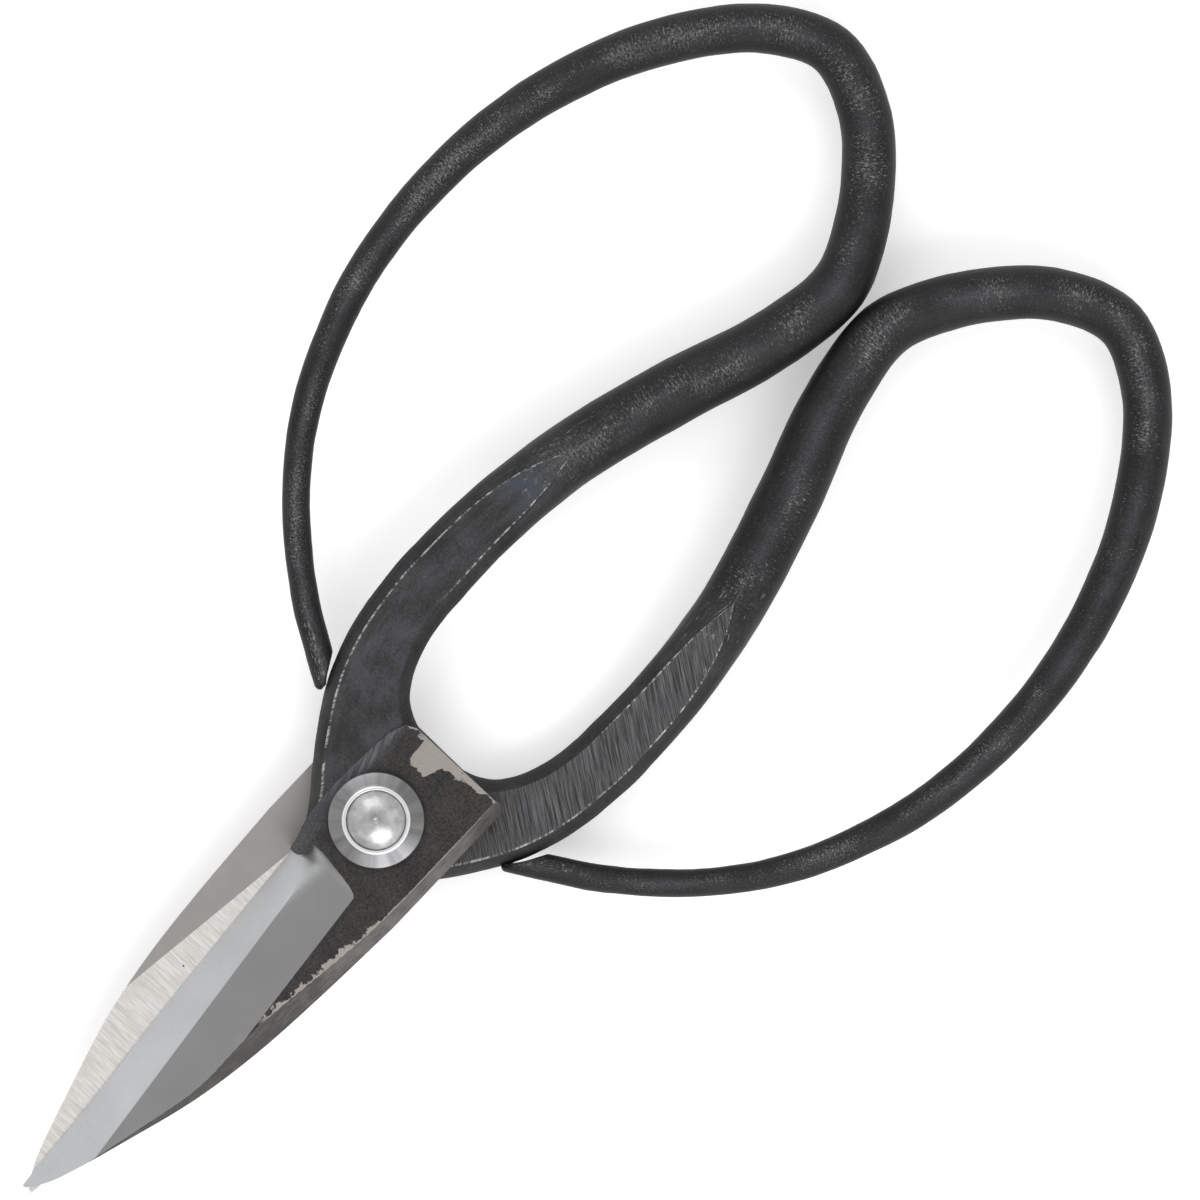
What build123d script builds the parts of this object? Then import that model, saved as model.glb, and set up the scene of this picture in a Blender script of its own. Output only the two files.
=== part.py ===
"""Loop-handled forged shears: two like forgings, one turned over on the other, held by a headed rivet.

Millimetres. The shears lie flat with +Z up. The origin is on the pivot axis, at the flat end of the rivet's
tail. +Y runs from the pivot to the blade tips, and +X is the side of the upper half's handle.

The forging is drawn in its own frame: its shear face is the plane z = 0 and its plate is above it, the pivot
axis is at x = y = 0, its handle goes to +X and its spine is on the -X side.
"""

import os
from math import cos, radians, sin

from build123d import *

# Forging
PLATE_T = 4.6  # thickness at the pivot
SHANK_T = 4.3  # thickness of the flat shank
SHANK_W = 9.4  # width of the shank where the round bar starts
PLAY = 0.04  # gap between faces that turn on each other
BORE_R = 2.8

# Outline of the plate and blade, counter-clockwise
TIP = (0.7, 65.1)
SPINE_X = -10.97
SPINE_END_Y = 8.6
SPINE = [(-10.3, 21.3), (-9.4, 31.9), (-7.8, 41.5), (-5.25, 50.7), (-2.0, 61.0)]
CORNER_Y = -12.1
CORNER_R = 0.7
THROAT_X = 3.4
THROAT_DIRECTION = (1, -0.12)
INNER = [(8.2, -15.2), (10.6, -20.3)]
SHANK_X = 16.1  # middle of the shank
SHANK_Y = -27.0  # where the round bar starts
SHOULDER = [(19.4, -15.5), (16.2, -7.2), (10.5, 1.1), (6.5, 6.5)]
NUB = (5.6, 10.1)
HEEL = (5.15, 10.9)
EDGE = [(4.4, 21.3), (3.2, 36.5), (1.7, 51.5)]

# Ground faces of the blade, as x and height at the heel station and at the tip station
HEEL_STATION = 8.0
TIP_STATION = 66.0
TOP_HEIGHTS = (PLATE_T, 2.7)
RIDGES = ((2.05, 3.75), (-4.75, 1.95))
EDGES = ((5.35, 0.2), (0.6, 0.2))
FACET_SLOPE = 0.13
RELIEF = 0.35  # how far the shear face is eased off at the spine
RELIEF_X = 4.0
RELIEF_Y = 13.0

# Bevel along the spine: station, x and height of its lower line, x and height of its upper line
SPINE_BEVEL = [
    (-14.0, -10.97, 2.2, -9.4, 4.6),
    (8.6, -10.97, 2.2, -9.4, 4.6),
    (29.0, -9.66, 1.7, -7.05, 3.9),
    (41.0, -7.9, 2.3, -6.85, 3.5),
    (50.0, -5.45, 2.3, -4.95, 2.9),
    (66.0, -0.4, 1.7, 0.1, 2.3),
]

# Step between the plate's face and the lower face of the shank
STEP_X = 4.9
STEP_W = 1.5
STEP_Y = 3.0

# Centreline of the handle, from the shank round the loop and into the shank's side
ROUTE = [
    (SHANK_X, SHANK_Y, SHANK_T / 2),
    (15.9, -38.0, 1.3),
    (14.1, -51.0, 0.1),
    (10.2, -65.0, 0.0),
    (5.9, -77.5, 0.0),
    (4.02, -88.0, 0.0),
    (10.8, -102.5, 0.0),
    (25.5, -111.2, 0.0),
    (39.6, -100.5, 0.0),
    (48.5, -81.3, 0.0),
    (50.8, -62.0, 0.0),
    (47.7, -43.4, 0.3),
    (38.6, -26.0, 0.9),
    (25.6, -13.9, 1.5),
    (15.6, -7.9, 2.1),
]
ROUTE_DIRECTIONS = [(0, -1, 0), (-1, 0.5, 0)]

# Sections of the handle: part of the route's length, width, thickness, roundness (0 flat, 1 oval)
SECTIONS = [
    (0.0, SHANK_W, SHANK_T, 0.0),
    (0.04, 9.15, 4.9, 0.3),
    (0.1, 8.75, 7.2, 1.0),
    (0.16, 8.75, 8.0, 1.0),
    (0.28, 7.85, 7.8, 1.0),
    (0.43, 6.8, 6.8, 1.0),
    (0.52, 6.4, 6.4, 1.0),
    (0.7, 5.0, 5.0, 1.0),
    (0.8, 4.4, 4.4, 1.0),
    (0.89, 3.85, 3.85, 1.0),
    (1.0, 3.8, 3.8, 1.0),
]
HANDLE_STATIONS = 26
TOP_CHAMFER = 1.4
FOOT_CHAMFER = 1.2

# Free end of the loop: a flat cut that faces the side of the shank
END_AT = (17.35, -8.75)
END_NORMAL = (0.91, 0.41)

# Rivet and washers
RIVET_R = 2.75
HEAD_R = 3.7
DOME_H = 1.9
HEAD_RIM = 0.35
DOME_R = (HEAD_R**2 + (DOME_H - HEAD_RIM) ** 2) / (2 * (DOME_H - HEAD_RIM))
TAIL_PROUD = 0.4
TAIL_BEVEL = 0.3
WASHER_R = 6.15
WASHER_RIM_T = 0.7
WASHER_SHOULDER_R = 4.5
WASHER_SHOULDER_T = 1.2
LIP_R = 4.2
LIP_T = 1.45
SEAT_R = 3.8
SEAT_T = 0.95

# Heights over the origin
REAR_FACE_Z = TAIL_PROUD + LIP_T
SHEAR_Z = REAR_FACE_Z + PLATE_T + PLAY / 2
FRONT_FACE_Z = SHEAR_Z + PLATE_T + PLAY / 2
FRONT_WASHER_Z = FRONT_FACE_Z + PLAY
HEAD_Z = FRONT_WASHER_Z + SEAT_T

FAR = 30.0  # reaches past the metal on every side


def mix(start, end, part):
    """The point a given part of the way from start to end."""
    return tuple(a + (b - a) * part for a, b in zip(start, end))


def oval_point(width, thickness, degrees, scale=1.0):
    """A point on an oval, or outside it by scale."""
    angle = radians(degrees)
    return (scale * width / 2 * cos(angle), scale * thickness / 2 * sin(angle))


def handle_corners(width, thickness):
    """Corners of the flat shank's section, from its loop side and round over its top."""
    side, half = width / 2, thickness / 2
    cut, foot = TOP_CHAMFER, FOOT_CHAMFER
    return [
        (side, foot - half),
        (side, half - cut),
        (side - cut, half),
        (cut - side, half),
        (-side, half - cut),
        (-side, foot - half),
        (foot - side, -half),
        (side - foot, -half),
    ]


def handle_section(width, thickness, roundness):
    """Draw one section of the handle: eight edges, straight on the shank and curved on the bar."""
    step = 45
    corners = handle_corners(width, thickness)
    for index in range(8):
        following = (index + 1) % 8
        start_angle = (index - 0.5) * step
        bend = oval_point(width, thickness, start_angle + step / 2, 1 / cos(radians(step / 2)))
        middle = mix(corners[index], corners[following], 0.5)
        start = mix(corners[index], oval_point(width, thickness, start_angle), roundness)
        end = mix(corners[following], oval_point(width, thickness, start_angle + step), roundness)
        Bezier(start, mix(middle, bend, roundness), end)


def handle_size(along):
    """Width, thickness and roundness of the handle, a given part of the way along its route."""
    for start, end in zip(SECTIONS, SECTIONS[1:]):
        if along <= end[0]:
            return mix(start, end, (along - start[0]) / (end[0] - start[0]))[1:]


# Handle: a bar that starts as the flat shank and tapers round the loop
with BuildLine(mode=Mode.PRIVATE) as route:
    Spline(*ROUTE, tangents=ROUTE_DIRECTIONS)

with BuildPart() as handle:
    for index in range(HANDLE_STATIONS + 1):
        along = index / HANDLE_STATIONS
        heading = route.line % along
        across = Vector(-heading.Y, heading.X, 0)
        with BuildSketch(Plane(origin=route.line @ along, x_dir=across, z_dir=heading)):
            with BuildLine():
                handle_section(*handle_size(along))
            make_face()
    loft()
    end_plane = Plane(origin=(*END_AT, 0), z_dir=(*END_NORMAL, 0))
    with Locations(end_plane):
        Box(2 * SHANK_W, 2 * SHANK_W, SHANK_W, align=(Align.CENTER, Align.CENTER, Align.MAX), mode=Mode.SUBTRACT)

# Forging: the plate, shank and blade, with the handle joined on
with BuildPart() as forging:
    shank_out = (SHANK_X + SHANK_W / 2, SHANK_Y)
    shank_in = (SHANK_X - SHANK_W / 2, SHANK_Y)
    with BuildSketch():
        with BuildLine():
            Spline(TIP, *reversed(SPINE), (SPINE_X, SPINE_END_Y), tangents=[(-0.35, -1), (0, -1)])
            FilletPolyline(
                (SPINE_X, SPINE_END_Y), (SPINE_X, CORNER_Y), (THROAT_X, CORNER_Y), radius=CORNER_R
            )
            Spline((THROAT_X, CORNER_Y), *INNER, shank_in, tangents=[THROAT_DIRECTION, (0, -1)])
            Line(shank_in, shank_out)
            Spline(shank_out, *SHOULDER, NUB, tangents=[(0, 1), (0, 1)])
            Line(NUB, HEEL)
            Spline(HEEL, *EDGE, TIP, tangents=[(-0.07, 1), (-0.1, 1)])
        make_face()
    extrude(amount=PLATE_T)

    # Chamfers along both sides of the shank, on its outer face and its shear face
    curves = forging.edges().filter_by(GeomType.BSPLINE).filter_by(Plane.XY)
    shank_curves = curves.filter_by(lambda curve: curve.bounding_box().min.Y < SHANK_Y + PLAY).group_by(Axis.Z)
    chamfer(shank_curves[-1], TOP_CHAMFER + PLATE_T - SHANK_T)
    chamfer(shank_curves[0], FOOT_CHAMFER)

    # Lower face of the shank
    with BuildSketch(Plane.XZ.offset(-STEP_Y)):
        with BuildLine():
            Polyline(
                (STEP_X, PLATE_T + 1),
                (STEP_X, PLATE_T),
                (STEP_X + STEP_W, SHANK_T),
                (FAR, SHANK_T),
                (FAR, PLATE_T + 1),
                close=True,
            )
        make_face()
    extrude(amount=FAR, mode=Mode.SUBTRACT)

    # Taper of the outer face towards the tip
    with BuildSketch(Plane.YZ):
        with BuildLine():
            Polyline(
                (HEEL_STATION, TOP_HEIGHTS[0]),
                (TIP_STATION, TOP_HEIGHTS[1]),
                (TIP_STATION, PLATE_T + 1),
                (HEEL_STATION, PLATE_T + 1),
                close=True,
            )
        make_face()
    extrude(amount=FAR, both=True, mode=Mode.SUBTRACT)

    # Two ground facets that meet in a ridge, down to the cutting edge
    for station, ridge, edge in zip((HEEL_STATION, TIP_STATION), RIDGES, EDGES):
        facet_top = ridge[1] + FACET_SLOPE * (FAR + ridge[0])
        with BuildSketch(Plane.XZ.offset(-station)):
            with BuildLine():
                Polyline(
                    (FAR, edge[1]),
                    edge,
                    ridge,
                    (-FAR, facet_top),
                    (-FAR, FAR),
                    (FAR, FAR),
                    close=True,
                )
            make_face()
    loft(ruled=True, mode=Mode.SUBTRACT)

    # Bevel along the spine
    for station, low_x, low_z, high_x, high_z in SPINE_BEVEL:
        low, high = (low_x, low_z), (high_x, high_z)
        with BuildSketch(Plane.XZ.offset(-station)):
            with BuildLine():
                Polyline(mix(low, high, -1), mix(low, high, 3), (-FAR, FAR), close=True)
            make_face()
    loft(ruled=True, mode=Mode.SUBTRACT)

    # Relief of the shear face behind the cutting edge
    with BuildSketch(Plane.XZ.offset(-RELIEF_Y)):
        with BuildLine():
            Polyline((RELIEF_X, 0), (SPINE_X, RELIEF), (SPINE_X, -1), (RELIEF_X, -1), close=True)
        make_face()
    extrude(amount=-2 * FAR, mode=Mode.SUBTRACT)

    add(handle.part)
    Hole(BORE_R)

# The two halves
with BuildPart() as front_half:
    with Locations((0, 0, SHEAR_Z + PLAY / 2)):
        add(forging.part)

with BuildPart() as rear_half:
    with Locations((0, 0, SHEAR_Z - PLAY / 2)):
        add(forging.part, rotation=(0, 180, 0))


def washer_profile():
    """Draw half of a turned washer: flat on its bearing side, coned, with a lip round the rivet's seat."""
    Polyline(
        (BORE_R, 0),
        (WASHER_R, 0),
        (WASHER_R, WASHER_RIM_T),
        (WASHER_SHOULDER_R, WASHER_SHOULDER_T),
        (LIP_R, LIP_T),
        (SEAT_R, LIP_T),
        (SEAT_R, SEAT_T),
        (BORE_R, SEAT_T),
        close=True,
    )


# Washers: the upper one faces up, the lower one faces down
with BuildPart() as front_washer:
    with BuildSketch(Plane((0, 0, FRONT_WASHER_Z), x_dir=(1, 0, 0), z_dir=(0, -1, 0))):
        with BuildLine():
            washer_profile()
        make_face()
    revolve(axis=Axis.Z)

with BuildPart() as rear_washer:
    with BuildSketch(Plane((0, 0, REAR_FACE_Z), x_dir=(1, 0, 0), z_dir=(0, 1, 0))):
        with BuildLine():
            washer_profile()
        make_face()
    revolve(axis=Axis.Z)

# Rivet: a domed head, a plain shank and a tail spread into the lower washer's seat
with BuildPart() as rivet:
    tail_seat_z = REAR_FACE_Z - SEAT_T
    with BuildSketch(Plane.XZ):
        with BuildLine():
            Polyline(
                (0, HEAD_Z + DOME_H),
                (0, 0),
                (HEAD_R - TAIL_BEVEL, 0),
                (HEAD_R, TAIL_BEVEL),
                (HEAD_R, tail_seat_z),
                (RIVET_R, tail_seat_z),
                (RIVET_R, HEAD_Z),
                (HEAD_R, HEAD_Z),
                (HEAD_R, HEAD_Z + HEAD_RIM),
            )
            RadiusArc((HEAD_R, HEAD_Z + HEAD_RIM), (0, HEAD_Z + DOME_H), -DOME_R)
        make_face()
    revolve(axis=Axis.Z)

os.makedirs("parts", exist_ok=True)

front_half.part.label = "front_half"
export_step(front_half.part, "parts/front_half.step")

rear_half.part.label = "rear_half"
export_step(rear_half.part, "parts/rear_half.step")

front_washer.part.label = "front_washer"
export_step(front_washer.part, "parts/front_washer.step")

rear_washer.part.label = "rear_washer"
export_step(rear_washer.part, "parts/rear_washer.step")

rivet.part.label = "rivet"
export_step(rivet.part, "parts/rivet.step")
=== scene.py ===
"""Loop-handled forged shears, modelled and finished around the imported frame.

Each forging is made in its own frame, in millimetres: its shear face is the plane z = 0 with its plate
above it, the pivot axis is at x = y = 0, its handle goes to +X and its spine is on the -X side. The lower
forging is the same shape turned over about the Y axis. A finished piece is in metres, in the frame's axes.
"""

import logging
import math
from collections.abc import Callable, Iterable, Sequence
from dataclasses import dataclass, field
from enum import Enum
from typing import Union

import bmesh
import bpy
from mathutils import Matrix, Vector

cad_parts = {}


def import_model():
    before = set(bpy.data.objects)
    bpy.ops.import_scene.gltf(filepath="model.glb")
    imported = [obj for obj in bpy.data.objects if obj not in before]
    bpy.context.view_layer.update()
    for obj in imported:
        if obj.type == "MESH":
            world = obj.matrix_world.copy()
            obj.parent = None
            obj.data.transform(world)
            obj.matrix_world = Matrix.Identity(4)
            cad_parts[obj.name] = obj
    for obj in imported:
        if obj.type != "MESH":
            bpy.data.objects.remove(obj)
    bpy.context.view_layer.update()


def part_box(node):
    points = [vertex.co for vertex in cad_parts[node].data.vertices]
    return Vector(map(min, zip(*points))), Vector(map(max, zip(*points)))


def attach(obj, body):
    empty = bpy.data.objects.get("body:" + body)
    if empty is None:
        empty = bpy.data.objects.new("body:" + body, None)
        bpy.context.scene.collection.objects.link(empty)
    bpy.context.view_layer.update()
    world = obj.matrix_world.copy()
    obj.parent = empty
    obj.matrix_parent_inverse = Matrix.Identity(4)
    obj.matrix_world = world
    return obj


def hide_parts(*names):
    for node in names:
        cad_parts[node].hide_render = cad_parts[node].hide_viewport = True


LOG = logging.getLogger("shears")
MM = 0.001

Number = Union[int, float]
Point = tuple[float, float]


class Body(Enum):
    """The two rigid bodies of the shears."""

    LOWER = "lower_half"
    UPPER = "upper_half"


class Side(Enum):
    """Which way up a forging lies: its handle is on +X when it faces up."""

    UP = 1
    DOWN = -1


class Region(Enum):
    """The finishes of a forging, in the order of its material slots."""

    SCALE = 0
    SHEAR_FACE = 1
    GROUND = 2
    SPINE = 3
    WORN = 4
    HANDLE = 5


# ---- Lines ----


def smooth_line(points: Sequence[Sequence[float]], steps: int) -> list[Vector]:
    """Run a smooth curve through points.

    Args:
        points: The points that the curve passes through.
        steps: How many pieces each stretch between two points is divided into.

    Returns:
        Points along the curve, both ends included.
    """
    knots = [Vector(p) for p in points]
    knots = [2 * knots[0] - knots[1], *knots, 2 * knots[-1] - knots[-2]]
    line = []
    for before, start, end, after in zip(knots, knots[1:], knots[2:], knots[3:]):
        for step in range(steps):
            t = step / steps
            line.append(
                0.5
                * (
                    2 * start
                    + (end - before) * t
                    + (2 * before - 5 * start + 4 * end - after) * t**2
                    + (3 * start - before - 3 * end + after) * t**3
                )
            )
    line.append(knots[-2])
    return line


def between(table: Sequence[Sequence[float]], at: float) -> Vector:
    """Look up a table of rows, each led by a place, and mix the two rows on either side of a place.

    Args:
        table: Rows in rising order of their first number.
        at: The place.

    Returns:
        The other numbers of the row at that place.
    """
    for low, high in zip(table, table[1:]):
        if at <= high[0]:
            part = max(0.0, (at - low[0]) / (high[0] - low[0]))
            return Vector(low[1:]).lerp(Vector(high[1:]), part)
    return Vector(table[-1][1:])


# ---- Bench work on meshes ----


class Bench:
    """Modelling steps that the pieces share."""

    @staticmethod
    def only(piece: bpy.types.Object) -> None:
        """Select one object and make it the active one.

        Args:
            piece: The object.
        """
        bpy.ops.object.select_all(action="DESELECT")
        piece.select_set(True)
        bpy.context.view_layer.objects.active = piece

    @staticmethod
    def select_edges(piece: bpy.types.Object, wanted: Callable[[bmesh.types.BMEdge], bool]) -> None:
        """Select some edges of a mesh that is in edit mode.

        Args:
            piece: The object in edit mode.
            wanted: Says whether an edge is selected.
        """
        bpy.ops.mesh.select_mode(type="EDGE")
        bpy.ops.mesh.select_all(action="DESELECT")
        mesh = bmesh.from_edit_mesh(piece.data)
        mesh.normal_update()
        for edge in mesh.edges:
            edge.select_set(wanted(edge))
        mesh.select_flush_mode()
        bmesh.update_edit_mesh(piece.data)

    @staticmethod
    def loft(
        name: str, sections: Sequence[Sequence[Vector]], stations: Sequence[float] = ()
    ) -> bpy.types.Object:
        """Stretch a grid over closed sections of equal point count, and close its two ends.

        Args:
            name: The object's name.
            sections: Closed outlines, each a list of points.
            stations: Where each section is along the solid, from 0 to 1, for its UV map.

        Returns:
            A closed solid. Its UV map runs once round the sections and once along them.
        """
        bpy.ops.object.select_all(action="DESELECT")
        around, along = len(sections[0]), len(sections) - 1
        bpy.ops.mesh.primitive_grid_add(x_subdivisions=around, y_subdivisions=along, size=1, calc_uvs=True)
        piece = bpy.context.object
        piece.name = piece.data.name = name
        for vertex in piece.data.vertices:
            column = round((vertex.co.x + 0.5) * around) % around
            row = round((vertex.co.y + 0.5) * along)
            vertex.co = sections[row][column]
        if stations:
            for corner in piece.data.uv_layers.active.uv:
                corner.vector.y = stations[round(corner.vector.y * along)]
        bpy.ops.object.mode_set(mode="EDIT")
        bpy.ops.mesh.select_all(action="SELECT")
        bpy.ops.mesh.remove_doubles(threshold=1e-4)
        bpy.ops.mesh.fill_holes(sides=0)
        bpy.ops.mesh.select_all(action="SELECT")
        bpy.ops.mesh.normals_make_consistent(inside=False)
        bpy.ops.object.mode_set(mode="OBJECT")
        return piece

    @classmethod
    def combine(cls, piece: bpy.types.Object, other: bpy.types.Object, operation: str) -> None:
        """Cut one solid with another, or join them, and throw the other away.

        Args:
            piece: The solid that is kept.
            other: The solid that is used up.
            operation: "DIFFERENCE" or "UNION".
        """
        cls.only(piece)
        change = piece.modifiers.new("combine", "BOOLEAN")
        change.operation = operation
        change.solver = "EXACT"
        change.object = other
        bpy.ops.object.modifier_apply(modifier=change.name)
        bpy.data.objects.remove(other)

    @classmethod
    def clean(cls, piece: bpy.types.Object, threshold: float = 2e-3) -> None:
        """Merge points that lie together and turn the faces outwards.

        Args:
            piece: The object.
            threshold: How close points are that are merged.
        """
        cls.only(piece)
        bpy.ops.object.mode_set(mode="EDIT")
        bpy.ops.mesh.select_all(action="SELECT")
        bpy.ops.mesh.remove_doubles(threshold=threshold)
        bpy.ops.mesh.dissolve_degenerate(threshold=threshold / 2)
        bpy.ops.mesh.select_all(action="SELECT")
        bpy.ops.mesh.normals_make_consistent(inside=False)
        bpy.ops.object.mode_set(mode="OBJECT")

    @classmethod
    def finish(cls, piece: bpy.types.Object, turn: Matrix, smooth_degrees: float) -> None:
        """Bring a piece to metres and its own place, and smooth its shading up to an angle.

        Args:
            piece: The object, in millimetres.
            turn: Its place, in metres.
            smooth_degrees: The angle above which an edge stays sharp.
        """
        piece.data.transform(turn @ Matrix.Scale(MM, 4))
        piece.matrix_world = Matrix.Identity(4)
        cls.only(piece)
        bpy.ops.object.shade_smooth_by_angle(angle=math.radians(smooth_degrees))


# ---- Shader building ----


class Value:
    """A number that varies over a surface: a socket with Python's operators."""

    def __init__(self, shader: "Shader", socket: bpy.types.NodeSocket) -> None:
        """Wrap a socket of a shader's node."""
        self.shader = shader
        self.socket = socket

    def _math(self, operation: str, *values: Union["Value", Number]) -> "Value":
        """Add a Math node on values.

        Args:
            operation: The node's operation.
            values: What it works on, in order.

        Returns:
            The node's result.
        """
        inputs = dict(enumerate(values))
        node = self.shader.node("ShaderNodeMath", {"operation": operation}, inputs)
        return Value(self.shader, node.outputs[0])

    def __add__(self, other: Union["Value", Number]) -> "Value":
        """self + other."""
        return self._math("ADD", self, other)

    __radd__ = __add__

    def __sub__(self, other: Union["Value", Number]) -> "Value":
        """self - other."""
        return self._math("SUBTRACT", self, other)

    def __rsub__(self, other: Number) -> "Value":
        """other - self."""
        return self._math("SUBTRACT", other, self)

    def __mul__(self, other: Union["Value", Number]) -> "Value":
        """self * other."""
        return self._math("MULTIPLY", self, other)

    __rmul__ = __mul__

    def __truediv__(self, other: Union["Value", Number]) -> "Value":
        """self / other."""
        return self._math("DIVIDE", self, other)

    def __abs__(self) -> "Value":
        """The size of self, without its sign."""
        return self._math("ABSOLUTE", self)

    def at_least(self, other: Union["Value", Number]) -> "Value":
        """The larger of self and other."""
        return self._math("MAXIMUM", self, other)

    def rise(self, low: float, high: float) -> "Value":
        """0 below low, 1 above high and a smooth step between. With low above high, it falls.

        Args:
            low: Where the step starts.
            high: Where it ends.

        Returns:
            The step.
        """
        settings = {"interpolation_type": "SMOOTHSTEP"}
        inputs = {"Value": self, "From Min": low, "From Max": high}
        node = self.shader.node("ShaderNodeMapRange", settings, inputs)
        return Value(self.shader, node.outputs["Result"])


Colour = tuple[float, float, float]


class Shader:
    """One material's node tree and the steps that build it."""

    def __init__(self, name: str, **constants: float) -> None:
        """Start a material.

        Args:
            name: The material's name.
            constants: Numbers for the shader's own sockets, such as Metallic, with _ for a space.
        """
        self.material = bpy.data.materials.new(name)
        self.material.use_nodes = True
        self.tree = self.material.node_tree
        self.tree.nodes.clear()
        self.surface = self.node("ShaderNodeBsdfPrincipled", {}, {})
        output = self.node("ShaderNodeOutputMaterial", {}, {})
        self.tree.links.new(self.surface.outputs[0], output.inputs[0])
        for socket, number in constants.items():
            self.surface.inputs[socket.replace("_", " ")].default_value = number

    def node(self, kind: str, settings: dict, inputs: dict) -> bpy.types.Node:
        """Add a node.

        Args:
            kind: The node's type.
            settings: Its properties.
            inputs: A number, colour, Value or socket for each input, by name or place.

        Returns:
            The node.
        """
        node = self.tree.nodes.new(kind)
        for key, setting in settings.items():
            setattr(node, key, setting)
        for key, given in inputs.items():
            socket = node.inputs[key]
            given = given.socket if isinstance(given, Value) else given
            if isinstance(given, bpy.types.NodeSocket):
                self.tree.links.new(given, socket)
            elif isinstance(given, tuple) and len(given) == 3 and socket.type == "RGBA":
                socket.default_value = (*given, 1.0)
            else:
                socket.default_value = given
        return node

    def place(self) -> bpy.types.NodeSocket:
        """The place on the object, in millimetres."""
        spot = self.node("ShaderNodeTexCoord", {}, {}).outputs["Object"]
        scaled = self.node("ShaderNodeVectorMath", {"operation": "SCALE"}, {0: spot, "Scale": 1 / MM})
        return scaled.outputs[0]

    def along_surface(self) -> bpy.types.NodeSocket:
        """The place in the piece's UV map."""
        return self.node("ShaderNodeTexCoord", {}, {}).outputs["UV"]

    def split(self, vector: bpy.types.NodeSocket) -> tuple[Value, Value, Value]:
        """The three numbers of a vector."""
        outputs = self.node("ShaderNodeSeparateXYZ", {}, {0: vector}).outputs
        return Value(self, outputs[0]), Value(self, outputs[1]), Value(self, outputs[2])

    def length(self, vector: bpy.types.NodeSocket) -> Value:
        """The length of a vector."""
        node = self.node("ShaderNodeVectorMath", {"operation": "LENGTH"}, {0: vector})
        return Value(self, node.outputs["Value"])

    def vector(self, *parts: Union[Value, Number]) -> bpy.types.NodeSocket:
        """A vector of three numbers."""
        return self.node("ShaderNodeCombineXYZ", {}, dict(enumerate(parts))).outputs[0]

    def noise(
        self,
        vector: bpy.types.NodeSocket,
        scale: float,
        detail: float = 3.0,
        roughness: float = 0.55,
        stretch: tuple[float, float, float] = (1.0, 1.0, 1.0),
        shift: float = 0.0,
    ) -> Value:
        """Cloudy noise between 0 and 1.

        Args:
            vector: Where it is read.
            scale: Blotches for each unit of the vector.
            detail: How many finer layers it has.
            roughness: How strong the finer layers are.
            stretch: Scale along each axis, on top of scale.
            shift: Moves the pattern, so that two patterns differ.

        Returns:
            The noise.
        """
        spot = self.node(
            "ShaderNodeMapping", {}, {"Vector": vector, "Scale": stretch, "Location": (shift, shift, shift)}
        )
        inputs = {"Vector": spot.outputs[0], "Scale": scale, "Detail": detail, "Roughness": roughness}
        return Value(self, self.node("ShaderNodeTexNoise", {}, inputs).outputs[0])

    def mix(
        self,
        part: Value,
        first: Union[Colour, bpy.types.NodeSocket],
        second: Union[Colour, bpy.types.NodeSocket],
        blend: str = "MIX",
    ) -> bpy.types.NodeSocket:
        """Mix two colours.

        Args:
            part: How much of the second colour there is, from 0 to 1.
            first: The colour at 0.
            second: The colour that is mixed in.
            blend: How it is mixed in.

        Returns:
            The mixed colour.
        """
        settings = {"data_type": "RGBA", "blend_type": blend}
        return self.node("ShaderNodeMix", settings, {0: part, 6: first, 7: second}).outputs[2]

    def bump(self, height: Value, depth_mm: float) -> bpy.types.NodeSocket:
        """The normal of a relief whose height runs from 0 to 1 over a given depth."""
        inputs = {"Height": height, "Distance": depth_mm * MM, "Strength": 1.0}
        return self.node("ShaderNodeBump", {}, inputs).outputs[0]

    def done(
        self,
        colour: bpy.types.NodeSocket,
        roughness: Value,
        normal: bpy.types.NodeSocket = None,
        metallic: Value = None,
    ) -> bpy.types.Material:
        """Join what varies to the surface.

        Args:
            colour: The base colour.
            roughness: The roughness.
            normal: The relief.
            metallic: How bare the metal is.

        Returns:
            The finished material.
        """
        inputs = {"Base Color": colour, "Roughness": roughness.socket}
        if normal is not None:
            inputs["Normal"] = normal
        if metallic is not None:
            inputs["Metallic"] = metallic.socket
        for name, socket in inputs.items():
            self.tree.links.new(socket, self.surface.inputs[name])
        return self.material


# ---- Finishes ----


@dataclass(frozen=True)
class Tones:
    """The colours that the finishes share."""

    soot: Colour = (0.006, 0.006, 0.006)
    scale: Colour = (0.060, 0.056, 0.054)
    slate: Colour = (0.034, 0.034, 0.038)
    flat: tuple[Colour, Colour] = ((0.024, 0.0235, 0.025), (0.088, 0.086, 0.091))
    bare: Colour = (0.62, 0.61, 0.60)
    umber: Colour = (0.16, 0.145, 0.13)


TONES = Tones()


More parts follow.
